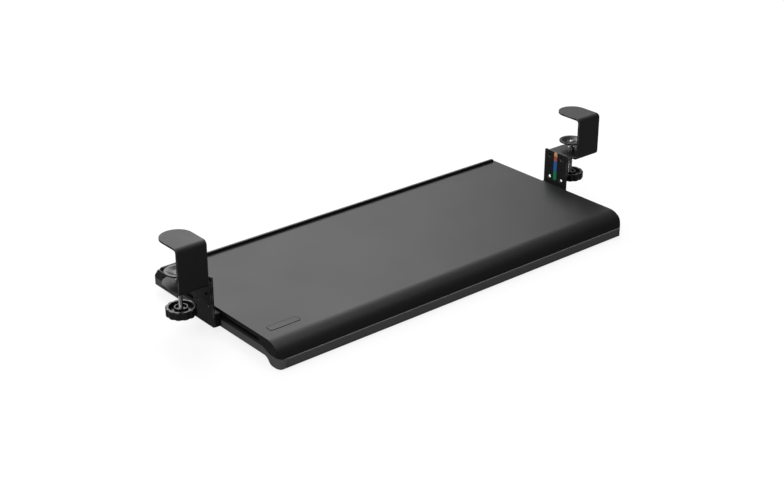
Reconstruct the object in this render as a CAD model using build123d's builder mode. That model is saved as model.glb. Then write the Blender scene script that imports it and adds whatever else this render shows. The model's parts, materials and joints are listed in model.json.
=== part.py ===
from build123d import *
import os

os.makedirs("parts", exist_ok=True)

# Clamp-on sliding keyboard tray, in millimetres.
# The origin is on the floor under the middle of the tray, +X to the right, +Y to the back, +Z up.
# The right-hand bracket is modelled, and the left-hand one is its mirror image.

# Shared clearances and the overrun of every cut
slide_gap = 0.3
turn_gap = 0.05
fit_gap = 0.05
cut_overrun = 5.0

# Tray form: a slab that bends down over a rounded nose at the front
tray_width = 660.0
tray_depth = 309.0
tray_height = 36.5
side_height = 26.5
skirt_height = 15.2
nose_radius = 29.0
nose_band = 15.5
nose_ledge = 1.0
wall = 2.5
end_wall = 2.8
front_corner = 13.0
rear_corner = 3.5
rear_slope_depth = 11.8
nose_edge_radius = 5.5
rear_edge_radius = 4.0

front_y = -tray_depth / 2
rear_y = tray_depth / 2
side_x = tray_width / 2
side_bottom = tray_height - side_height
parting_z = tray_height - skirt_height
deck_underside = tray_height - wall
skirt_inner_x = side_x - wall

# Where the parting line and the underside dip towards the nose, measured back from the front face
parting_dip_end = 21.0
parting_dip_start = 44.0
belly_dip_end = 18.0
belly_dip_start = 37.0

# Raised lip along the rear of the deck
lip_height = 4.2
lip_thickness = 3.2
lip_end_inset = 3.5
lip_end_radius = 2.5

# Bare shallow recess near the front left corner
recess_length = 51.0
recess_width = 14.0
recess_depth = 0.6
recess_corner = 4.0
recess_side_inset = 42.0
recess_front_inset = 50.5

# Slide rails: C channels under the deck, open towards slots in the skirts
rail_height = 12.0
rail_depth = 13.0
rail_wall = 1.2
slot_height = 5.0
rail_front_inset = 44.0
rail_rear_inset = 20.0
stop_length = 8.0
rail_block_length = 12.0
rail_block_depth = 9.0
rail_screw_shares = (-0.3, 0.02, 0.34)
rail_screw_radius = 1.5
rail_screw_length = 8.0
rail_head_radius = 2.8
rail_head_height = 1.2

rail_inner_x = skirt_inner_x - rail_depth
rail_mid_z = deck_underside - rail_height / 2
rail_front = front_y + rail_front_inset
rail_rear = rear_y - rail_rear_inset
rail_length = rail_rear - rail_front
rail_mid_y = (rail_rear + rail_front) / 2
rail_screw_places = [(tray_depth * share, rail_mid_z) for share in rail_screw_shares]

# Screws that join the lower shell to the deck from below
shell_screw_radius = 1.6
shell_screw_length = 18.0
shell_head_radius = 3.2
shell_head_height = 1.8
shell_well_depth = 3.0
shell_boss_radius = 5.0
shell_screw_columns = 4
shell_screw_rows = 2
shell_screw_side_inset = 40.5
shell_screw_front_inset = 75.0
shell_screw_rear_inset = 39.0

boss_joint_z = side_bottom + shell_well_depth + wall
shell_screws_width = tray_width - 2 * shell_screw_side_inset
shell_screws_depth = tray_depth - shell_screw_front_inset - shell_screw_rear_inset
shell_screw_centre_y = (shell_screw_front_inset - shell_screw_rear_inset) / 2

# Carriage beside the tray, and the glide shoe that it holds in the rail
carriage_thickness = 9.4
carriage_height = 20.5
carriage_lift = 2.5
carriage_gap = 0.6
carriage_edge = 1.0
shoe_length = 44.0
shoe_relief = 2.4
shoe_edge = 1.0
neck_inset = 2.0
glide_screw_pitch = 24.0
glide_screw_radius = 1.45
glide_screw_length = 22.0
glide_head_radius = 2.8
glide_socket_radius = 1.1

carriage_x = side_x + carriage_gap
carriage_bottom = side_bottom + carriage_lift
plate_x = carriage_x + carriage_thickness

# Clamp: a strip of sheet steel bent to a C, with a flap bent down from its bottom flange
steel = 3.0
bend_radius = 6.5
clamp_width = 47.0
clamp_height = 69.2
clamp_offset = 36.6
clamp_y = 7.0
clamp_reach = 36.0
clamp_lift = 69.3
flap_bend_radius = 5.0
flap_drop = 32.3
flap_corner = 5.0

clamp_x = plate_x + clamp_offset
clamp_bottom = carriage_bottom + clamp_lift
flange_top = clamp_bottom + steel
flange_rear = clamp_y + clamp_width / 2
clamp_front = clamp_y - clamp_reach

# Upright plate that the tray hangs from, with two columns of height holes
plate_width = 49.0
plate_height = 76.5
plate_thickness = 2.5
plate_corner = 2.0
hole_radius = 2.6
hole_sink_radius = 3.7
hole_rows = 3
hole_columns = 2
hole_row_pitch = 18.3
hole_column_pitch = 25.6
middle_row_lift = 49.3

middle_row_z = carriage_bottom + middle_row_lift
plate_mid_y = flange_rear - plate_width / 2
flap_x = plate_x + plate_thickness
flap_bottom = clamp_bottom - flap_drop

# Colour scale on the plate's inner face
scale_width = 7.0
scale_length = 48.0
scale_thickness = 0.4
scale_corner = 2.0
scale_top_inset = 0.5

# Flat-head screws through the plate into threaded holes in the flap
height_screw_radius = 2.45
height_screw_length = 7.0
height_socket_radius = 1.5

# Clamping screw with its nut, and the pressure disc riveted to its upper end
screw_radius = 2.95
screw_head_drop = 44.4
screw_head_flats = 10.0
screw_head_height = 4.0
nut_across_flats = 10.0
nut_height = 5.0
nut_edge = 0.6
nut_collar_radius = 4.2
disc_radius = 20.0
disc_lift = 19.7
disc_sheet = 2.2
disc_rim = 4.0
dish_depth = 2.4
dish_floor_radius = 8.0
hub_radius = 5.5
hub_height = 3.5
neck_radius = 2.05
rivet_radius = 3.6
rivet_height = 1.2
rivet_edge = 0.5
hub_float = 0.1

disc_top = clamp_bottom + disc_lift
screw_head_bottom = clamp_bottom - screw_head_drop
dish_floor = disc_top - dish_depth
hub_bottom = dish_floor - hub_height

# Fluted knob
knob_radius = 21.5
knob_drop = 45.9
knob_height = 11.6
knob_flutes = 12
flute_radius = 6.0
flute_depth = 1.2
knob_edge = 0.8
knob_rim = 4.5
knob_well_depth = 6.0
knob_hub_radius = 9.5
knob_hub_wall = 1.6
knob_hub_well_depth = 3.0

knob_bottom = clamp_bottom - knob_drop


def save(piece, node):
    piece.part.label = node
    export_step(piece.part, f"parts/{node}.step")


def save_pair(piece, name):
    """Writes the right-hand piece, and its mirror image as the left-hand one."""
    save(piece, "right_" + name)
    with BuildPart() as left:
        mirror(piece.part, about=Plane.YZ)
    save(left, "left_" + name)


def dip_points(start, end, high, low):
    """Start, middle and end of an S-shaped step that runs forwards and down."""
    middle = (front_y + (start + end) / 2, (high + low) / 2)
    return (front_y + start, high), middle, (front_y + end, low)


def plan_outline(side_inset, end_inset):
    """Rounded rectangle of the tray seen from above, drawn in at its sides and its ends."""
    with BuildSketch() as plan:
        Rectangle(tray_width - 2 * side_inset, tray_depth - 2 * end_inset)
        fillet(plan.vertices().group_by(Axis.Y)[0], radius=front_corner - end_inset)
        fillet(plan.vertices().group_by(Axis.Y)[-1], radius=rear_corner - end_inset)
    return plan.sketch


def pan_screw(radius, length, head_radius, head_height):
    """Screw that points down from the origin, with its flat head above it."""
    with BuildPart() as screw:
        Cylinder(radius, length, align=(Align.CENTER, Align.CENTER, Align.MAX))
        Cylinder(head_radius, head_height, align=(Align.CENTER, Align.CENTER, Align.MIN))
        with BuildSketch(Plane.XY.offset(head_height)):
            RegularPolygon(head_radius / 2, 6)
        extrude(amount=-head_height / 2, mode=Mode.SUBTRACT)
    return screw.part


def flat_screw(radius, length, head_radius, socket_radius):
    """Countersunk screw that points down from the origin, where its head is flush."""
    sink = head_radius - radius
    with BuildPart() as screw:
        Cylinder(radius, length, align=(Align.CENTER, Align.CENTER, Align.MAX))
        Cone(radius, head_radius, sink, align=(Align.CENTER, Align.CENTER, Align.MAX))
        with BuildSketch():
            RegularPolygon(socket_radius, 6)
        extrude(amount=-sink, mode=Mode.SUBTRACT)
    return screw.part


# Outline of the tray seen from the side, without the lip, drawn in the sketch's own X and Y
nose_centre_y = front_y + nose_ledge + nose_radius
nose_centre_z = tray_height - nose_radius
nose_foot_y = nose_centre_y - (nose_radius**2 - (nose_band - nose_centre_z) ** 2) ** 0.5
slope_top_y = rear_y - rear_slope_depth
belly_start, belly_middle, belly_end = dip_points(belly_dip_start, belly_dip_end, side_bottom, 0)
parting_points = dip_points(parting_dip_start, parting_dip_end, parting_z, nose_band)
parting_start, parting_middle, parting_end = parting_points

with BuildSketch(Plane.YZ) as side_outline:
    with BuildLine():
        Polyline((rear_y, parting_z), (slope_top_y, tray_height), (nose_centre_y, tray_height))
        TangentArc((nose_centre_y, tray_height), (nose_foot_y, nose_band), tangent=(-1, 0))
        Polyline((nose_foot_y, nose_band), (front_y, nose_band), (front_y, 0), belly_end)
        TangentArc(belly_end, belly_middle, tangent=(1, 0))
        TangentArc(belly_start, belly_middle, tangent=(-1, 0))
        Polyline(belly_start, (rear_y, side_bottom), (rear_y, parting_z))
    make_face()
    fillet(side_outline.vertices().group_by(Axis.Y)[0].sort_by(Axis.X)[0], nose_edge_radius)
    fillet(side_outline.vertices().group_by(Axis.X)[-1].sort_by(Axis.Y)[0], rear_edge_radius)

# The whole slab, the hollow inside it, and the space above the parting line
with BuildPart() as slab:
    extrude(side_outline.sketch, amount=side_x, both=True)
    extrude(plan_outline(0, 0), amount=tray_height, mode=Mode.INTERSECT)

with BuildPart() as hollow:
    with BuildSketch(Plane.YZ):
        offset(side_outline.sketch_local, amount=-wall)
    extrude(amount=skirt_inner_x, both=True)
    extrude(plan_outline(wall, end_wall), amount=tray_height, mode=Mode.INTERSECT)

with BuildPart() as above:
    with BuildSketch(Plane.YZ):
        with BuildLine():
            Line((rear_y + cut_overrun, parting_z), parting_start)
            TangentArc(parting_start, parting_middle, tangent=(-1, 0))
            TangentArc(parting_end, parting_middle, tangent=(1, 0))
            Polyline(
                parting_end,
                (front_y - cut_overrun, nose_band),
                (front_y - cut_overrun, tray_height + cut_overrun),
                (rear_y + cut_overrun, tray_height + cut_overrun),
                (rear_y + cut_overrun, parting_z),
            )
        make_face()
    extrude(amount=side_x + cut_overrun, both=True)

# Lip that stands on the deck's rear edge and carries on the rear slope
lip_rear_y = slope_top_y - lip_height * rear_slope_depth / skirt_height
lip_front_y = lip_rear_y - lip_thickness
lip_top = tray_height + lip_height
lip_root = tray_height - wall / 2

with BuildPart() as lip:
    with BuildSketch(Plane.YZ):
        with BuildLine():
            Polyline(
                (slope_top_y, lip_root),
                (slope_top_y, tray_height),
                (lip_rear_y, lip_top),
                (lip_front_y, lip_top),
                (lip_front_y, lip_root),
                close=True,
            )
        make_face()
    extrude(amount=side_x - lip_end_inset, both=True)
    fillet(lip.edges().filter_by(Axis.Y).group_by(Axis.Z)[-1], radius=lip_end_radius)

# Blocks under the deck that the right-hand rail is screwed to
with BuildPart() as rail_blocks:
    with BuildSketch(Plane.YZ.offset(rail_inner_x)):
        with Locations(*rail_screw_places):
            Rectangle(rail_block_length, rail_height)
    extrude(amount=-rail_block_depth)
    with BuildSketch(Plane.YZ.offset(rail_inner_x)):
        with Locations(*rail_screw_places):
            Circle(rail_screw_radius + fit_gap)
    extrude(amount=rail_wall - rail_screw_length, mode=Mode.SUBTRACT)

# Screws that hold the lower shell run up into these bosses
shell_screw_plane = Plane.XY.offset(side_bottom)
shell_screw_pitch_x = shell_screws_width / (shell_screw_columns - 1)
shell_screw_pitch_y = shell_screws_depth / (shell_screw_rows - 1)
shell_screw_grid = (
    shell_screw_pitch_x, shell_screw_pitch_y, shell_screw_columns, shell_screw_rows
)
shell_pilot_radius = shell_screw_radius + fit_gap

# Deck panel: moulded top skin with nose, slotted skirts, rear lip, rail blocks and screw bosses
with BuildPart() as deck_panel:
    add(slab.part)
    add(hollow.part, mode=Mode.SUBTRACT)
    add(above.part, mode=Mode.INTERSECT)
    add(lip.part)
    with BuildSketch(Plane.XY.offset(tray_height)):
        with Locations((recess_side_inset - side_x, front_y + recess_front_inset)):
            RectangleRounded(recess_length, recess_width, recess_corner)
    extrude(amount=-recess_depth, mode=Mode.SUBTRACT)
    with BuildSketch(Plane.YZ):
        with Locations((rail_mid_y, rail_mid_z)):
            SlotOverall(rail_length - stop_length, slot_height)
    extrude(amount=side_x + cut_overrun, both=True, mode=Mode.SUBTRACT)
    add(rail_blocks.part)
    mirror(rail_blocks.part, about=Plane.YZ)
    with BuildSketch(Plane.XY.offset(boss_joint_z)):
        with Locations((0, shell_screw_centre_y)):
            with GridLocations(*shell_screw_grid):
                Circle(shell_boss_radius)
    extrude(until=Until.NEXT)
    with BuildSketch(Plane.XY.offset(boss_joint_z)):
        with Locations((0, shell_screw_centre_y)):
            with GridLocations(*shell_screw_grid):
                Circle(shell_pilot_radius)
    extrude(amount=shell_screw_length - wall, mode=Mode.SUBTRACT)
save(deck_panel, "deck_panel")

# Lower shell: shallow moulded pan with the front band, screwed on from below
with BuildPart() as lower_shell:
    add(slab.part)
    add(hollow.part, mode=Mode.SUBTRACT)
    add(above.part, mode=Mode.SUBTRACT)
    with BuildSketch(Plane.XY.offset(boss_joint_z)):
        with Locations((0, shell_screw_centre_y)):
            with GridLocations(*shell_screw_grid):
                Circle(shell_boss_radius)
    extrude(amount=side_bottom - boss_joint_z)
    with BuildSketch(shell_screw_plane):
        with Locations((0, shell_screw_centre_y)):
            with GridLocations(*shell_screw_grid):
                Circle(shell_head_radius + slide_gap)
    extrude(amount=shell_well_depth, mode=Mode.SUBTRACT)
    with BuildSketch(shell_screw_plane):
        with Locations((0, shell_screw_centre_y)):
            with GridLocations(*shell_screw_grid):
                Circle(shell_pilot_radius)
    extrude(amount=boss_joint_z, mode=Mode.SUBTRACT)
save(lower_shell, "lower_shell")

# Shell screws, heads down in their wells
shell_screw = pan_screw(shell_screw_radius, shell_screw_length, shell_head_radius, shell_head_height)
with BuildPart() as shell_screws:
    with Locations(Location((0, shell_screw_centre_y, side_bottom + shell_well_depth), (180, 0, 0))):
        with GridLocations(*shell_screw_grid):
            add(shell_screw)
save(shell_screws, "shell_screws")

# Rail: rolled C channel with a lipped slot that lines up with the slot in the skirt
rail_web_face = rail_inner_x + rail_wall
rail_lip_face = skirt_inner_x - rail_wall
with BuildPart() as rail:
    with BuildSketch(Plane.XZ.offset(-rail_rear)):
        with Locations((rail_inner_x, rail_mid_z)):
            Rectangle(rail_depth, rail_height, align=(Align.MIN, Align.CENTER))
        with Locations((rail_web_face, rail_mid_z)):
            Rectangle(
                rail_depth - 2 * rail_wall,
                rail_height - 2 * rail_wall,
                align=(Align.MIN, Align.CENTER),
                mode=Mode.SUBTRACT,
            )
            Rectangle(rail_depth, slot_height, align=(Align.MIN, Align.CENTER), mode=Mode.SUBTRACT)
    extrude(amount=rail_length)
    with BuildSketch(Plane.YZ.offset(rail_inner_x)):
        with Locations(*rail_screw_places):
            Circle(rail_screw_radius + fit_gap)
    extrude(amount=rail_wall, mode=Mode.SUBTRACT)
save_pair(rail, "rail")

# Stops in both ends of the rail, each with a tongue in the slot
with BuildPart() as rail_stops:
    for stop_rear in (rail_rear, rail_front + stop_length):
        with BuildSketch(Plane.XZ.offset(-stop_rear)):
            with Locations((rail_web_face, rail_mid_z)):
                Rectangle(
                    rail_lip_face - rail_web_face,
                    rail_height - 2 * rail_wall,
                    align=(Align.MIN, Align.CENTER),
                )
                Rectangle(
                    skirt_inner_x - rail_web_face, slot_height, align=(Align.MIN, Align.CENTER)
                )
        extrude(amount=stop_length)
save_pair(rail_stops, "rail_stops")

# Rail screws, from inside the channel through its web into the blocks
rail_screw = pan_screw(rail_screw_radius, rail_screw_length, rail_head_radius, rail_head_height)
with BuildPart() as rail_screws:
    for screw_y, screw_z in rail_screw_places:
        with Locations(Location((rail_web_face, screw_y, screw_z), (0, 90, 0))):
            add(rail_screw)
    mirror(about=Plane.YZ)
save(rail_screws, "rail_screws")

# Glide shoe: T-shaped tongue in the rail, with a neck out through both slots
shoe_back = rail_web_face + shoe_relief
shoe_front = rail_lip_face - slide_gap
glide_screw_places = [
    (plate_mid_y - glide_screw_pitch / 2, rail_mid_z),
    (plate_mid_y + glide_screw_pitch / 2, rail_mid_z),
]
with BuildPart() as glide_shoe:
    with BuildSketch(Plane.YZ.offset(shoe_back)):
        with Locations((plate_mid_y, rail_mid_z)):
            Rectangle(shoe_length, rail_height - 2 * (rail_wall + slide_gap))
    extrude(amount=shoe_front - shoe_back)
    chamfer(glide_shoe.edges().filter_by(Axis.X), length=shoe_edge)
    with BuildSketch(Plane.YZ.offset(shoe_front)):
        with Locations((plate_mid_y, rail_mid_z)):
            SlotOverall(shoe_length - 2 * neck_inset, slot_height - 2 * slide_gap)
    extrude(amount=carriage_x - shoe_front)
    with BuildSketch(Plane.YZ.offset(carriage_x)):
        with Locations(*glide_screw_places):
            Circle(glide_screw_radius + fit_gap)
    extrude(amount=shoe_back - carriage_x, mode=Mode.SUBTRACT)
save_pair(glide_shoe, "glide_shoe")

# Carriage: block that fills the space between the tray's side and the plate
carriage_mid_z = carriage_bottom + carriage_height / 2
with BuildPart() as carriage:
    with BuildSketch(Plane.YZ.offset(carriage_x)):
        with Locations((plate_mid_y, carriage_mid_z)):
            Rectangle(plate_width, carriage_height)
    extrude(amount=carriage_thickness)
    fillet(carriage.edges().filter_by(Axis.X), radius=carriage_edge)
    chamfer(carriage.faces().sort_by(Axis.X)[0].edges(), length=carriage_gap)
    with BuildSketch(Plane.YZ.offset(carriage_x)):
        with Locations(*glide_screw_places):
            Circle(glide_screw_radius + fit_gap)
    extrude(amount=carriage_thickness, mode=Mode.SUBTRACT)
save_pair(carriage, "carriage")

# Height plate: its height holes are countersunk on the tray's side, its carriage holes outside
plate_inner_face = Plane((plate_x, plate_mid_y, middle_row_z), x_dir=(0, 1, 0), z_dir=(-1, 0, 0))
plate_outer_face = Plane((flap_x, 0, 0), x_dir=(0, 1, 0), z_dir=(1, 0, 0))
with BuildPart() as height_plate:
    with BuildSketch(Plane.YZ.offset(plate_x)):
        with Locations((plate_mid_y, carriage_bottom + plate_height / 2)):
            RectangleRounded(plate_width, plate_height, plate_corner)
    extrude(amount=plate_thickness)
    with Locations(plate_inner_face):
        with GridLocations(hole_column_pitch, hole_row_pitch, hole_columns, hole_rows):
            CounterSinkHole(hole_radius, hole_sink_radius, depth=plate_thickness)
    with Locations(plate_outer_face):
        with Locations(*glide_screw_places):
            CounterSinkHole(glide_screw_radius + fit_gap, glide_head_radius, depth=plate_thickness)
save_pair(height_plate, "height_plate")

# Colour scale between the two columns of holes
scale_top = carriage_bottom + plate_height - scale_top_inset
with BuildPart() as height_scale:
    with BuildSketch(Plane.YZ.offset(plate_x)):
        with Locations((plate_mid_y, scale_top - scale_length / 2)):
            RectangleRounded(scale_width, scale_length, scale_corner)
    extrude(amount=-scale_thickness)
save_pair(height_scale, "height_scale")

# Height screws in the middle row, and the screws that hold the carriage and the shoe
height_screw = flat_screw(
    height_screw_radius, height_screw_length, hole_sink_radius, height_socket_radius
)
with BuildPart() as height_screws:
    with Locations(plate_inner_face):
        with GridLocations(hole_column_pitch, 0, hole_columns, 1):
            add(height_screw)
save_pair(height_screws, "height_screws")

glide_screw = flat_screw(
    glide_screw_radius, glide_screw_length, glide_head_radius, glide_socket_radius
)
with BuildPart() as carriage_screws:
    with Locations(plate_outer_face):
        with Locations(*glide_screw_places):
            add(glide_screw)
save_pair(carriage_screws, "carriage_screws")

# Clamp arm: C-shaped strip with rounded flange ends, and the flap that carries the height plate
with BuildPart() as clamp_arm:
    with BuildSketch(Plane.YZ.offset(clamp_x)) as strip:
        with Locations((clamp_front, clamp_bottom)):
            Rectangle(clamp_reach + clamp_width, clamp_height, align=(Align.MIN, Align.MIN))
        fillet(strip.vertices().group_by(Axis.X)[0], radius=bend_radius)
        offset(amount=-steel, mode=Mode.SUBTRACT)
    extrude(amount=clamp_width / 2, both=True)
    with BuildSketch(Plane.XY.offset(clamp_bottom)):
        with Locations((clamp_x, clamp_front)):
            Rectangle(clamp_width, clamp_reach, align=(Align.CENTER, Align.MIN))
        with Locations((clamp_x, clamp_y)):
            Circle(clamp_width / 2)
    extrude(amount=clamp_height, mode=Mode.INTERSECT)
    with BuildSketch(Plane.XZ.offset(-flange_rear)) as flap:
        with BuildLine():
            Polyline(
                (clamp_x, flange_top),
                (flap_x, flange_top),
                (flap_x, flap_bottom),
                (flap_x + steel, flap_bottom),
                (flap_x + steel, clamp_bottom),
                (clamp_x, clamp_bottom),
                close=True,
            )
        make_face()
        fillet(flap.vertices().group_by(Axis.Y)[1].sort_by(Axis.X)[0], flap_bend_radius - steel)
        fillet(flap.vertices().group_by(Axis.Y)[-1].sort_by(Axis.X)[0], flap_bend_radius)
    extrude(amount=plate_width)
    fillet(clamp_arm.edges().filter_by(Axis.X).group_by(Axis.Z)[0], radius=flap_corner)
    with BuildSketch(Plane.XY.offset(clamp_bottom)):
        with Locations((clamp_x, clamp_y)):
            Circle(nut_collar_radius + fit_gap)
    extrude(amount=steel, mode=Mode.SUBTRACT)
    with BuildSketch(Plane.YZ.offset(flap_x)):
        with Locations((plate_mid_y, middle_row_z)):
            with GridLocations(hole_column_pitch, 0, hole_columns, 1):
                Circle(height_screw_radius + fit_gap)
    extrude(amount=steel, mode=Mode.SUBTRACT)
save_pair(clamp_arm, "clamp_arm")

# The clamping screw's axis, as a plane to draw round parts on and one to stand them on
axis_section = Plane((clamp_x, clamp_y, 0), x_dir=(1, 0, 0), z_dir=(0, -1, 0))
screw_axis = Axis((clamp_x, clamp_y, 0), (0, 0, 1))

# Clamp nut: hexagon on the bottom flange, with a collar through it
with BuildPart() as clamp_nut:
    with BuildSketch(Plane((clamp_x, clamp_y, flange_top))):
        RegularPolygon(nut_across_flats / 2, 6, major_radius=False)
    extrude(amount=nut_height)
    chamfer(clamp_nut.edges().group_by(Axis.Z)[-1], length=nut_edge)
    with BuildSketch(Plane((clamp_x, clamp_y, clamp_bottom))):
        Circle(nut_collar_radius)
    extrude(amount=steel)
    with BuildSketch(Plane((clamp_x, clamp_y, clamp_bottom))):
        Circle(screw_radius + turn_gap)
    extrude(amount=steel + nut_height, mode=Mode.SUBTRACT)
save_pair(clamp_nut, "clamp_nut")

# Pressure disc: dished plate with a hub that turns on the screw's neck
hub_bore = neck_radius + turn_gap
with BuildPart() as pressure_disc:
    with BuildSketch(axis_section):
        with BuildLine():
            Polyline(
                (hub_bore, hub_bottom),
                (hub_radius, hub_bottom),
                (hub_radius, dish_floor - disc_sheet),
                (dish_floor_radius, dish_floor - disc_sheet),
                (disc_radius - disc_rim, disc_top - disc_sheet),
                (disc_radius, disc_top - disc_sheet),
                (disc_radius, disc_top),
                (disc_radius - disc_rim, disc_top),
                (dish_floor_radius, dish_floor),
                (hub_bore, dish_floor),
                close=True,
            )
        make_face()
    revolve(axis=screw_axis)
save_pair(pressure_disc, "pressure_disc")

# Clamp screw: hexagon head in the knob, shaft, and a neck riveted over the disc's hub
shoulder_z = hub_bottom - hub_float
rivet_z = dish_floor + hub_float
head_top = screw_head_bottom + screw_head_height
with BuildPart() as clamp_screw:
    with BuildSketch(axis_section):
        with BuildLine():
            Polyline(
                (0, screw_head_bottom),
                (screw_radius, screw_head_bottom),
                (screw_radius, shoulder_z),
                (neck_radius, shoulder_z),
                (neck_radius, rivet_z),
                (rivet_radius, rivet_z),
                (rivet_radius, rivet_z + rivet_height),
                (0, rivet_z + rivet_height),
                close=True,
            )
        make_face()
    revolve(axis=screw_axis)
    chamfer(clamp_screw.edges().group_by(Axis.Z)[-1], length=rivet_edge)
    with BuildSketch(Plane((clamp_x, clamp_y, screw_head_bottom))):
        RegularPolygon(screw_head_flats / 2, 6, major_radius=False)
    extrude(amount=screw_head_height)
save_pair(clamp_screw, "clamp_screw")

# Knob: fluted rim, ring-shaped well and raised hub, with a hexagon pocket for the screw's head
with BuildPart() as knob:
    with BuildSketch(Plane((clamp_x, clamp_y, knob_bottom))):
        Circle(knob_radius)
        with PolarLocations(knob_radius + flute_radius - flute_depth, knob_flutes):
            Circle(flute_radius, mode=Mode.SUBTRACT)
    extrude(amount=knob_height)
    chamfer(knob.edges().group_by(Axis.Z)[-1], length=knob_edge)
    chamfer(knob.edges().group_by(Axis.Z)[0], length=knob_edge)
    with BuildSketch(Plane((clamp_x, clamp_y, knob_bottom + knob_height))):
        Circle(knob_radius - knob_rim)
        Circle(knob_hub_radius, mode=Mode.SUBTRACT)
    extrude(amount=-knob_well_depth, mode=Mode.SUBTRACT)
    with BuildSketch(Plane((clamp_x, clamp_y, knob_bottom + knob_height))):
        Circle(knob_hub_radius - knob_hub_wall)
    extrude(amount=-knob_hub_well_depth, mode=Mode.SUBTRACT)
    with BuildSketch(Plane((clamp_x, clamp_y, knob_bottom))):
        Circle(screw_radius + fit_gap)
    extrude(amount=knob_height, mode=Mode.SUBTRACT)
    with BuildSketch(Plane((clamp_x, clamp_y, knob_bottom))):
        RegularPolygon(screw_head_flats / 2 + fit_gap, 6, major_radius=False)
    extrude(amount=head_top - knob_bottom, mode=Mode.SUBTRACT)
save_pair(knob, "knob")
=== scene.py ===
import json
import math

import bmesh
import bpy
from mathutils import Matrix, Vector


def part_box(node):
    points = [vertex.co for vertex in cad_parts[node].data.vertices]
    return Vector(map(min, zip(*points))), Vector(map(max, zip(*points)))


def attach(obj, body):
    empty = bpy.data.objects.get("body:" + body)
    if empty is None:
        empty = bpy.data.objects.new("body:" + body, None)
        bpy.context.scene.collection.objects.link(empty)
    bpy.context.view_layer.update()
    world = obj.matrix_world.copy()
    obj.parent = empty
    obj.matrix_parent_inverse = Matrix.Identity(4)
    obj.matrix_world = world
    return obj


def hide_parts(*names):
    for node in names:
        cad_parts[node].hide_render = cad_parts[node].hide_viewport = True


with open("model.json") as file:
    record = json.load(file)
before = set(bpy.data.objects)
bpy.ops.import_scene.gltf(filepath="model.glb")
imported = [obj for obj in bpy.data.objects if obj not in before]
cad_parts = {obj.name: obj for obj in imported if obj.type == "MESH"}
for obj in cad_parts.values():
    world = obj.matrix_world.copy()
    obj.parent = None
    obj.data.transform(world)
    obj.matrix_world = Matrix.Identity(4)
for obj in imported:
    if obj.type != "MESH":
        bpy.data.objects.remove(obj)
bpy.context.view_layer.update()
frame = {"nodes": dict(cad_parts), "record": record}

# The camera stands in front of the tray and to its left, at about a metre over the floor,
# and looks a quarter of the way down. Its place and lens come from a fit to the photograph.
camera_place = Vector((-1.2829, -1.5097, 0.9577))
camera_turn = math.radians(40.095)
camera_pitch = math.radians(24.892)
camera_roll = math.radians(0.101)
camera_data = bpy.data.cameras.new("camera")
camera_data.sensor_width = 36
camera_data.lens = 67.1
camera_data.clip_end = 30
camera = bpy.data.objects.new("camera", camera_data)
camera.matrix_world = (
    Matrix.Translation(camera_place)
    @ Matrix.Rotation(-camera_turn, 4, "Z")
    @ Matrix.Rotation(math.pi / 2 - camera_pitch, 4, "X")
    @ Matrix.Rotation(camera_roll, 4, "Z")
)
scene = bpy.context.scene
scene.collection.objects.link(camera)
scene.camera = camera
scene.view_settings.view_transform = "Standard"

# The studio floor: a pale sweep that shows white to the camera and keeps the soft shadow of
# the tray and its brackets. Mirrored rays see a small share of that white, since the faces
# that look along the floor are near black in the photograph.
floor_size = 12.0
floor_drop = 0.0003
floor_grey = 0.13
near_reach = 0.7
near_white = 0.84
far_reach = 2.2
far_white = 1.0
mirrored_white = 0.06
floor_mesh = bpy.data.meshes.new("studio_floor")
floor_form = bmesh.new()
bmesh.ops.create_grid(
    floor_form, x_segments=1, y_segments=1, size=floor_size / 2,
    matrix=Matrix.Translation((0, 0, -floor_drop)),
)
floor_form.to_mesh(floor_mesh)
floor_form.free()
studio_floor = bpy.data.objects.new("studio_floor", floor_mesh)
scene.collection.objects.link(studio_floor)


def white_share(nodes, links):
    """Output that is 1 for the camera's own rays and a small share for mirrored ones."""
    rays = nodes.new("ShaderNodeLightPath")
    mirrored = nodes.new("ShaderNodeMath")
    mirrored.operation = "ADD"
    share = nodes.new("ShaderNodeMath")
    share.operation = "MULTIPLY_ADD"
    share.inputs[1].default_value = mirrored_white
    links.new(rays.outputs["Is Glossy Ray"], mirrored.inputs[0])
    links.new(rays.outputs["Is Transmission Ray"], mirrored.inputs[1])
    links.new(mirrored.outputs[0], share.inputs[0])
    links.new(rays.outputs["Is Camera Ray"], share.inputs[2])
    return share.outputs[0]


floor_white = bpy.data.materials.new("floor_white")
floor_white.use_nodes = True
floor_nodes = floor_white.node_tree.nodes
floor_links = floor_white.node_tree.links
floor_shader = floor_nodes["Principled BSDF"]
floor_shader.inputs["Base Color"].default_value = (floor_grey, floor_grey, floor_grey, 1)
floor_shader.inputs["Roughness"].default_value = 0.9
floor_shader.inputs["Specular IOR Level"].default_value = 0.1
floor_shader.inputs["Emission Color"].default_value = (1, 1, 1, 1)
floor_place = floor_nodes.new("ShaderNodeTexCoord")
floor_way = floor_nodes.new("ShaderNodeVectorMath")
floor_way.operation = "LENGTH"
floor_sweep = floor_nodes.new("ShaderNodeMapRange")
floor_sweep.inputs["From Min"].default_value = near_reach
floor_sweep.inputs["From Max"].default_value = far_reach
floor_sweep.inputs["To Min"].default_value = near_white
floor_sweep.inputs["To Max"].default_value = far_white
floor_lift = floor_nodes.new("ShaderNodeMath")
floor_lift.operation = "MULTIPLY"
floor_links.new(floor_place.outputs["Object"], floor_way.inputs[0])
floor_links.new(floor_way.outputs["Value"], floor_sweep.inputs["Value"])
floor_links.new(white_share(floor_nodes, floor_links), floor_lift.inputs[0])
floor_links.new(floor_sweep.outputs["Result"], floor_lift.inputs[1])
floor_links.new(floor_lift.outputs[0], floor_shader.inputs["Emission Strength"])
floor_mesh.materials.append(floor_white)

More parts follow.
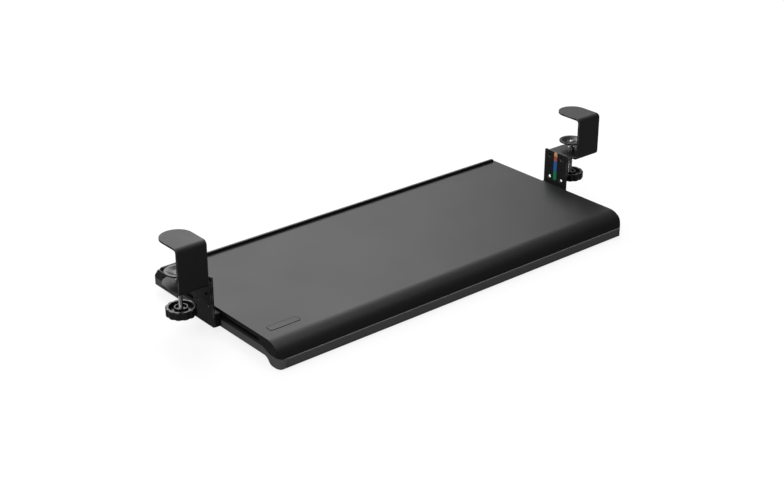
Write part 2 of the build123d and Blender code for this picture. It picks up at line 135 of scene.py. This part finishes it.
# The studio round the tray: white to the camera, and to the object a soft grey room that is
# lighter behind, overhead and to the left than in front, where dark faces stay dark.
room_bright_way = (-0.5, 0.6, 0.62)
room_bright_share = 0.7
room_dark = 0.02
room_bright = 0.65
studio = bpy.data.worlds.new("studio")
scene.world = studio
studio.use_nodes = True
studio_nodes = studio.node_tree.nodes
studio_links = studio.node_tree.links
studio_nodes.clear()
room_light = studio_nodes.new("ShaderNodeBackground")
room_way = studio_nodes.new("ShaderNodeTexCoord")
room_turn = studio_nodes.new("ShaderNodeVectorMath")
room_turn.operation = "DOT_PRODUCT"
room_turn.inputs[1].default_value = room_bright_way
room_shade = studio_nodes.new("ShaderNodeValToRGB")
room_shade.color_ramp.elements[0].position = 0.0
room_shade.color_ramp.elements[0].color = (room_dark, room_dark, room_dark, 1)
room_shade.color_ramp.elements[1].position = room_bright_share
room_shade.color_ramp.elements[1].color = (room_bright, room_bright, room_bright, 1)
studio_links.new(room_way.outputs["Generated"], room_turn.inputs[0])
studio_links.new(room_turn.outputs["Value"], room_shade.inputs[0])
studio_links.new(room_shade.outputs[0], room_light.inputs["Color"])
backdrop_light = studio_nodes.new("ShaderNodeBackground")
backdrop_light.inputs["Color"].default_value = (1, 1, 1, 1)
studio_mix = studio_nodes.new("ShaderNodeMixShader")
studio_out = studio_nodes.new("ShaderNodeOutputWorld")
studio_links.new(white_share(studio_nodes, studio_links), studio_mix.inputs[0])
studio_links.new(room_light.outputs[0], studio_mix.inputs[1])
studio_links.new(backdrop_light.outputs[0], studio_mix.inputs[2])
studio_links.new(studio_mix.outputs[0], studio_out.inputs["Surface"])


# Soft boxes that all look at the middle of the tray: a wide one high behind it, which the
# deck mirrors, a weaker one overhead, and two small ones in front that draw thin lights on
# the nose and on the round edges.
def soft_box(name, place, width, height, power):
    """Lamp with a flat bright face, in metres and watts, aimed at the origin."""
    lamp = bpy.data.lights.new(name, "AREA")
    lamp.shape = "RECTANGLE"
    lamp.size = width
    lamp.size_y = height
    lamp.energy = power
    holder = bpy.data.objects.new(name, lamp)
    aim = (-Vector(place)).to_track_quat("-Z", "Y")
    holder.matrix_world = Matrix.Translation(place) @ aim.to_matrix().to_4x4()
    scene.collection.objects.link(holder)


soft_box("back_soft_box", place=(1.3, 2.6, 2.2), width=2.6, height=1.6, power=70)
soft_box("top_soft_box", place=(0.3, 0.1, 2.6), width=2.8, height=1.0, power=38)
soft_box("side_soft_box", place=(-1.7, -0.9, 2.1), width=0.9, height=0.7, power=24)
soft_box("front_soft_box", place=(-0.9, -2.9, 1.1), width=2.0, height=0.7, power=9)

# The deck panel: one injection-moulded skin in satin black with a very fine spark-eroded
# grain. It bends down over the nose, and its rear lip, skirts and shallow recess are moulded in.
deck_edge = 0.0004
edge_steps = 2
same_point = 0.000005
flat_turn = math.radians(0.6)
sharp_turn = math.radians(35)
even_weight = 80
grain_patches = 14


def break_edges(node, radius, finish, turn=sharp_turn):
    """Copy of a solid with merged facets, smooth curves and a small radius on its sharp edges."""
    form = bmesh.new()
    form.from_mesh(frame["nodes"][node].data)
    bmesh.ops.remove_doubles(form, verts=form.verts, dist=same_point)
    bmesh.ops.dissolve_limit(
        form, angle_limit=flat_turn, verts=form.verts, edges=form.edges, delimit=set()
    )
    sharp = [e for e in form.edges if e.is_manifold and e.calc_face_angle() > turn]
    bmesh.ops.bevel(
        form, geom=sharp, offset=radius, offset_type="OFFSET", segments=edge_steps, profile=0.5,
        affect="EDGES", clamp_overlap=True, material=-1,
    )
    bmesh.ops.recalc_face_normals(form, faces=form.faces)
    mesh = bpy.data.meshes.new(node + "_finished")
    form.to_mesh(mesh)
    form.free()
    mesh.shade_smooth()
    mesh.materials.append(finish)
    piece = bpy.data.objects.new(node + "_finished", mesh)
    scene.collection.objects.link(piece)
    for body, members in frame["record"]["behaviour"]["bodies"].items():
        if node in members:
            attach(piece, body)
    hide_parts(node)
    shading = piece.modifiers.new("even_shading", "WEIGHTED_NORMAL")
    shading.keep_sharp = True
    shading.weight = even_weight
    return piece


def grain_group():
    """Fine grain: an even height for a bump, and a slow mask of patches for the roughness."""
    group = bpy.data.node_groups.new("moulded_grain", "ShaderNodeTree")
    group.interface.new_socket("Spots per metre", in_out="INPUT", socket_type="NodeSocketFloat")
    group.interface.new_socket("Patches per metre", in_out="INPUT", socket_type="NodeSocketFloat")
    group.interface.new_socket("Height", in_out="OUTPUT", socket_type="NodeSocketFloat")
    group.interface.new_socket("Patches", in_out="OUTPUT", socket_type="NodeSocketFloat")
    nodes, links = group.nodes, group.links
    entry = nodes.new("NodeGroupInput")
    leave = nodes.new("NodeGroupOutput")
    place = nodes.new("ShaderNodeTexCoord")
    spots = nodes.new("ShaderNodeTexNoise")
    spots.inputs["Detail"].default_value = 2
    spots.inputs["Roughness"].default_value = 0.6
    patches = nodes.new("ShaderNodeTexNoise")
    patches.inputs["Detail"].default_value = 3
    links.new(place.outputs["Object"], spots.inputs["Vector"])
    links.new(place.outputs["Object"], patches.inputs["Vector"])
    links.new(entry.outputs["Spots per metre"], spots.inputs["Scale"])
    links.new(entry.outputs["Patches per metre"], patches.inputs["Scale"])
    links.new(spots.outputs["Fac"], leave.inputs["Height"])
    links.new(patches.outputs["Fac"], leave.inputs["Patches"])
    return group


def wear_and_highlight_group():
    """Edge wear and painted highlight: paler where the surface turns sharply, broken by a noise.
    """
    group = bpy.data.node_groups.new("worn_and_highlit_edges", "ShaderNodeTree")
    group.interface.new_socket("Radius", in_out="INPUT", socket_type="NodeSocketFloat")
    group.interface.new_socket("Wear and highlight", in_out="OUTPUT", socket_type="NodeSocketFloat")
    nodes, links = group.nodes, group.links
    entry = nodes.new("NodeGroupInput")
    leave = nodes.new("NodeGroupOutput")
    rounded = nodes.new("ShaderNodeBevel")
    rounded.samples = 4
    true_face = nodes.new("ShaderNodeNewGeometry")
    turn = nodes.new("ShaderNodeVectorMath")
    turn.operation = "DOT_PRODUCT"
    edge = nodes.new("ShaderNodeMapRange")
    edge.inputs["From Min"].default_value = 0.98
    edge.inputs["From Max"].default_value = 0.80
    place = nodes.new("ShaderNodeTexCoord")
    rub_and_glint_noise = nodes.new("ShaderNodeTexNoise")
    rub_and_glint_noise.inputs["Scale"].default_value = 90
    rub_and_glint_noise.inputs["Detail"].default_value = 4
    rub_and_glint_breakup = nodes.new("ShaderNodeMapRange")
    rub_and_glint_breakup.inputs["From Min"].default_value = 0.35
    rub_and_glint_breakup.inputs["From Max"].default_value = 0.75
    product = nodes.new("ShaderNodeMath")
    product.operation = "MULTIPLY"
    links.new(entry.outputs["Radius"], rounded.inputs["Radius"])
    links.new(rounded.outputs["Normal"], turn.inputs[0])
    links.new(true_face.outputs["Normal"], turn.inputs[1])
    links.new(turn.outputs["Value"], edge.inputs["Value"])
    links.new(place.outputs["Object"], rub_and_glint_noise.inputs["Vector"])
    links.new(rub_and_glint_noise.outputs["Fac"], rub_and_glint_breakup.inputs["Value"])
    links.new(edge.outputs["Result"], product.inputs[0])
    links.new(rub_and_glint_breakup.outputs["Result"], product.inputs[1])
    links.new(product.outputs[0], leave.inputs["Wear and highlight"])
    return group


moulded_grain = grain_group()
worn_and_highlit_edges = wear_and_highlight_group()


def surface(
    name, color, worn_and_highlit, roughness, spots, height,
    patch_change=0.06, metallic=0.0, specular=0.3, wear_and_highlight_radius=0.0008,
):
    """Material with grain, slow changes of roughness and paler edges of wear and painted
    highlight.
    """
    material = bpy.data.materials.new(name)
    material.use_nodes = True
    nodes, links = material.node_tree.nodes, material.node_tree.links
    shader = nodes["Principled BSDF"]
    shader.inputs["Metallic"].default_value = metallic
    shader.inputs["Specular IOR Level"].default_value = specular
    grain = nodes.new("ShaderNodeGroup")
    grain.node_tree = moulded_grain
    grain.inputs["Spots per metre"].default_value = spots
    grain.inputs["Patches per metre"].default_value = grain_patches
    wear_and_highlight = nodes.new("ShaderNodeGroup")
    wear_and_highlight.node_tree = worn_and_highlit_edges
    wear_and_highlight.inputs["Radius"].default_value = wear_and_highlight_radius
    # The paler edge colour is partly wear and partly a painted highlight along the edges.
    tint = nodes.new("ShaderNodeMix")
    tint.data_type = "RGBA"
    tint.inputs["A"].default_value = (*color, 1)
    tint.inputs["B"].default_value = (*worn_and_highlit, 1)
    rough = nodes.new("ShaderNodeMapRange")
    rough.inputs["To Min"].default_value = roughness - patch_change
    rough.inputs["To Max"].default_value = roughness + patch_change
    bump = nodes.new("ShaderNodeBump")
    bump.inputs["Strength"].default_value = 1
    bump.inputs["Distance"].default_value = height
    links.new(wear_and_highlight.outputs["Wear and highlight"], tint.inputs["Factor"])
    links.new(tint.outputs["Result"], shader.inputs["Base Color"])
    links.new(grain.outputs["Patches"], rough.inputs["Value"])
    links.new(rough.outputs["Result"], shader.inputs["Roughness"])
    links.new(grain.outputs["Height"], bump.inputs["Height"])
    links.new(bump.outputs["Normal"], shader.inputs["Normal"])
    return material


deck_satin = surface(
    "deck_satin", color=(0.0048, 0.0048, 0.005), worn_and_highlit=(0.02, 0.02, 0.0205), roughness=0.48,
    spots=2600, height=0.000035, patch_change=0.03,
)
break_edges("deck_panel", deck_edge, deck_satin)

# The bare plate near the deck's front left corner: a thin moulded blank with round corners,
# pressed into the recess and left without lettering. It stands a little proud of the deck.
blank_place = (-0.288, -0.104)
blank_size = (0.0494, 0.0124)
blank_corner = 0.0034
blank_root = 0.0357
blank_height = 0.0012
blank_edge = 0.0003
blank_corner_steps = 6
blank_form = bmesh.new()
blank_outline = []
for turn, (way_x, way_y) in enumerate(((1, 1), (-1, 1), (-1, -1), (1, -1))):
    corner_x = blank_place[0] + way_x * (blank_size[0] / 2 - blank_corner)
    corner_y = blank_place[1] + way_y * (blank_size[1] / 2 - blank_corner)
    for step in range(blank_corner_steps + 1):
        angle = math.pi / 2 * (turn + step / blank_corner_steps)
        blank_outline.append(blank_form.verts.new((
            corner_x + blank_corner * math.cos(angle),
            corner_y + blank_corner * math.sin(angle),
            blank_root,
        )))
blank_base = blank_form.faces.new(blank_outline)
blank_rise = bmesh.ops.extrude_face_region(blank_form, geom=[blank_base], use_keep_orig=True)
blank_top = [v for v in blank_rise["geom"] if isinstance(v, bmesh.types.BMVert)]
bmesh.ops.translate(blank_form, verts=blank_top, vec=(0, 0, blank_height))
blank_half = blank_root + blank_height / 2
blank_rim = [e for e in blank_form.edges if all(v.co.z > blank_half for v in e.verts)]
bmesh.ops.bevel(
    blank_form, geom=blank_rim, offset=blank_edge, offset_type="OFFSET", segments=edge_steps,
    profile=0.5, affect="EDGES", clamp_overlap=True, material=-1,
)
bmesh.ops.recalc_face_normals(blank_form, faces=blank_form.faces)
blank_mesh = bpy.data.meshes.new("bare_plate")
blank_form.to_mesh(blank_mesh)
blank_form.free()
blank_mesh.materials.append(deck_satin)
bare_plate = bpy.data.objects.new("bare_plate", blank_mesh)
scene.collection.objects.link(bare_plate)
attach(bare_plate, "tray")

# The lower shell: a shallow moulded pan in a greyer, more matte black than the deck. Its front
# band stands a little proud under the nose. Eight screws in wells hold it to the deck's bosses.
shell_edge = 0.0003
shell_matte = surface(
    "shell_matte", color=(0.09, 0.09, 0.092), worn_and_highlit=(0.11, 0.11, 0.112), roughness=0.7,
    spots=1900, height=0.00006,
)
break_edges("lower_shell", shell_edge, shell_matte)

# The slide: black rolled rails in both sides, their rubber stops, and the acetal shoes and
# nylon carriages that the brackets ride on.
carriage_edge = 0.0003
rail_coat = surface(
    "rail_coat", color=(0.012, 0.012, 0.0125), worn_and_highlit=(0.05, 0.05, 0.05), roughness=0.4,
    spots=3000, height=0.00001,
)
stop_rubber = surface(
    "stop_rubber", color=(0.012, 0.012, 0.012), worn_and_highlit=(0.02, 0.02, 0.02), roughness=0.8,
    spots=1500, height=0.00005,
)
shoe_acetal = surface(
    "shoe_acetal", color=(0.02, 0.02, 0.021), worn_and_highlit=(0.05, 0.05, 0.05), roughness=0.35,
    spots=1200, height=0.00001,
)
# The carriages are darker and less shiny than black nylon is: painted shade for the gap between
# the height plate and the tray's side, where they sit.
carriage_nylon_painted_shade = surface(
    "carriage_nylon_painted_shade", color=(0.005, 0.005, 0.0052), worn_and_highlit=(0.02, 0.02, 0.0205), roughness=0.6,
    spots=1700, height=0.00004, specular=0.15,
)


def coat(node, finish):
    """Gives a solid that is shown as it is its own finish."""
    slots = frame["nodes"][node].data.materials
    slots.clear()
    slots.append(finish)


for side in ("left", "right"):
    coat(f"{side}_rail", rail_coat)
    coat(f"{side}_rail_stops", stop_rubber)
    coat(f"{side}_glide_shoe", shoe_acetal)
    break_edges(f"{side}_carriage", carriage_edge, carriage_nylon_painted_shade)

# The steel brackets: a strip bent to a C, its flap, and the plate with the height holes, all
# in fine-textured black powder coat. Its cut edges and hole rims are painted far paler,
# partly rubbed paint and partly a painted highlight that stands in for the glints on them.
steel_edge = 0.00035
powder_coat = surface(
    "powder_coat", color=(0.007, 0.007, 0.0072), worn_and_highlit=(0.45, 0.45, 0.46), roughness=0.56,
    spots=1500, height=0.00005, specular=0.42, wear_and_highlight_radius=0.0013,
)
for side in ("left", "right"):
    break_edges(f"{side}_clamp_arm", steel_edge, powder_coat)
    break_edges(f"{side}_height_plate", steel_edge, powder_coat)

# The height scale: a printed strip between the two columns of holes, in plain bands of orange,
# red, blue and green that tell how high the tray hangs, under a clear gloss film.
scale_low, scale_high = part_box("right_height_scale")
scale_print = bpy.data.materials.new("scale_print")
scale_print.use_nodes = True
scale_nodes = scale_print.node_tree.nodes
scale_links = scale_print.node_tree.links
scale_shader = scale_nodes["Principled BSDF"]
scale_shader.inputs["Roughness"].default_value = 0.3
scale_shader.inputs["Coat Weight"].default_value = 0.3
scale_place = scale_nodes.new("ShaderNodeTexCoord")
scale_parts = scale_nodes.new("ShaderNodeSeparateXYZ")
scale_share = scale_nodes.new("ShaderNodeMapRange")
scale_share.inputs["From Min"].default_value = scale_low.z
scale_share.inputs["From Max"].default_value = scale_high.z
scale_bands = scale_nodes.new("ShaderNodeValToRGB")
scale_bands.color_ramp.interpolation = "EASE"
band_green = (0.01, 0.24, 0.1, 1)
band_blue = (0.03, 0.15, 0.44, 1)
band_red = (0.5, 0.11, 0.08, 1)
band_orange = (0.8, 0.42, 0.2, 1)
ramp = scale_bands.color_ramp.elements
ramp[0].position, ramp[0].color = 0.0, band_green
ramp[1].position, ramp[1].color = 1.0, band_orange
for position, color in (
    (0.27, band_green), (0.36, band_blue), (0.66, band_blue), (0.72, band_red),
    (0.82, band_red), (0.9, band_orange),
):
    ramp.new(position).color = color
scale_links.new(scale_place.outputs["Object"], scale_parts.inputs[0])
scale_links.new(scale_parts.outputs["Z"], scale_share.inputs["Value"])
scale_links.new(scale_share.outputs["Result"], scale_bands.inputs[0])
scale_links.new(scale_bands.outputs["Color"], scale_shader.inputs["Base Color"])
for side in ("left", "right"):
    coat(f"{side}_height_scale", scale_print)

# The small screws: turned from steel and blackened in oxide, slightly oily. They sit in the
# plates, the carriages, the rails and the wells of the lower shell.
black_oxide = surface(
    "black_oxide", color=(0.03, 0.03, 0.032), worn_and_highlit=(0.12, 0.12, 0.12), roughness=0.36,
    spots=2500, height=0.00001, metallic=0.6, wear_and_highlight_radius=0.0003,
)
coat("rail_screws", black_oxide)
coat("shell_screws", black_oxide)
for side in ("left", "right"):
    coat(f"{side}_height_screws", black_oxide)
    coat(f"{side}_carriage_screws", black_oxide)

# The clamping screw: zinc-plated M6 with its nut on the lower flange, a fluted black knob
# moulded on its head, and a dished black disc riveted to its upper end.
zinc_edge = 0.0002
knob_edge = 0.0003
disc_edge = 0.0003
dish_turn = math.radians(12)
bright_zinc = surface(
    "bright_zinc", color=(0.55, 0.55, 0.56), worn_and_highlit=(0.75, 0.75, 0.75), roughness=0.28,
    spots=1200, height=0.00001, metallic=1.0,
)
knob_moulding = surface(
    "knob_moulding", color=(0.008, 0.008, 0.0082), worn_and_highlit=(0.03, 0.03, 0.03), roughness=0.32,
    spots=1500, height=0.00002,
)
disc_coat = surface(
    "disc_coat", color=(0.008, 0.008, 0.0084), worn_and_highlit=(0.1, 0.1, 0.1), roughness=0.3,
    spots=1500, height=0.00002, specular=0.28,
)
for side in ("left", "right"):
    break_edges(f"{side}_clamp_nut", zinc_edge, bright_zinc)
    break_edges(f"{side}_knob", knob_edge, knob_moulding)
    break_edges(f"{side}_pressure_disc", disc_edge, disc_coat, turn=dish_turn)

# The thread of the clamping screw: a rolled right-hand ridge of one millimetre pitch round a
# slightly thinner core, from the knob up to just under the disc.
thread_pitch = 0.001
thread_depth = 0.0005
thread_steps = 20
thread_end_gap = 0.0004
ridge_root_share = 1.1
ridge_crest_share = 0.5
ridge_width_share = 0.98
head_height = 0.004
neck_radius = 0.0022
shaft_radius = 0.00295
fillet_radius = 0.0032
ridge_root = shaft_radius - thread_depth * ridge_root_share
for side in ("left", "right"):
    screw_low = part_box(f"{side}_clamp_screw")[0]
    hub_low, hub_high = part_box(f"{side}_pressure_disc")
    axis_x = (hub_low.x + hub_high.x) / 2
    axis_y = (hub_low.y + hub_high.y) / 2
    thread_low = screw_low.z + head_height + thread_end_gap
    thread_high = hub_low.z - thread_end_gap

    core = break_edges(f"{side}_clamp_screw", zinc_edge, bright_zinc)
    for vertex in core.data.vertices:
        out = math.hypot(vertex.co.x - axis_x, vertex.co.y - axis_y)
        if screw_low.z + head_height / 2 < vertex.co.z < hub_low.z and (
            neck_radius < out < fillet_radius
        ):
            share = (out - thread_depth) / out
            vertex.co.x = axis_x + (vertex.co.x - axis_x) * share
            vertex.co.y = axis_y + (vertex.co.y - axis_y) * share

    ridge_form = bmesh.new()
    ridge_profile = [
        ridge_form.verts.new((axis_x + radius, axis_y, thread_low + rise))
        for radius, rise in (
            (ridge_root, 0),
            (shaft_radius, thread_pitch * ridge_crest_share),
            (ridge_root, thread_pitch * ridge_width_share),
        )
    ]
    ridge_face = ridge_form.faces.new(ridge_profile)
    turns = int((thread_high - thread_low) / thread_pitch) - 1
    bmesh.ops.spin(
        ridge_form, geom=[ridge_face, *ridge_face.edges, *ridge_face.verts],
        cent=(axis_x, axis_y, 0), axis=(0, 0, 1), dvec=(0, 0, thread_pitch / thread_steps),
        angle=2 * math.pi * turns, steps=turns * thread_steps, use_duplicate=False,
    )
    bmesh.ops.recalc_face_normals(ridge_form, faces=ridge_form.faces)
    for edge in ridge_form.edges:
        edge.smooth = edge.calc_face_angle(0) < sharp_turn
    ridge_mesh = bpy.data.meshes.new(f"{side}_screw_thread")
    ridge_form.to_mesh(ridge_mesh)
    ridge_form.free()
    for face in ridge_mesh.polygons:
        face.use_smooth = True
    ridge_mesh.materials.append(bright_zinc)
    ridge = bpy.data.objects.new(f"{side}_screw_thread", ridge_mesh)
    scene.collection.objects.link(ridge)
    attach(ridge, f"{side}_screw")
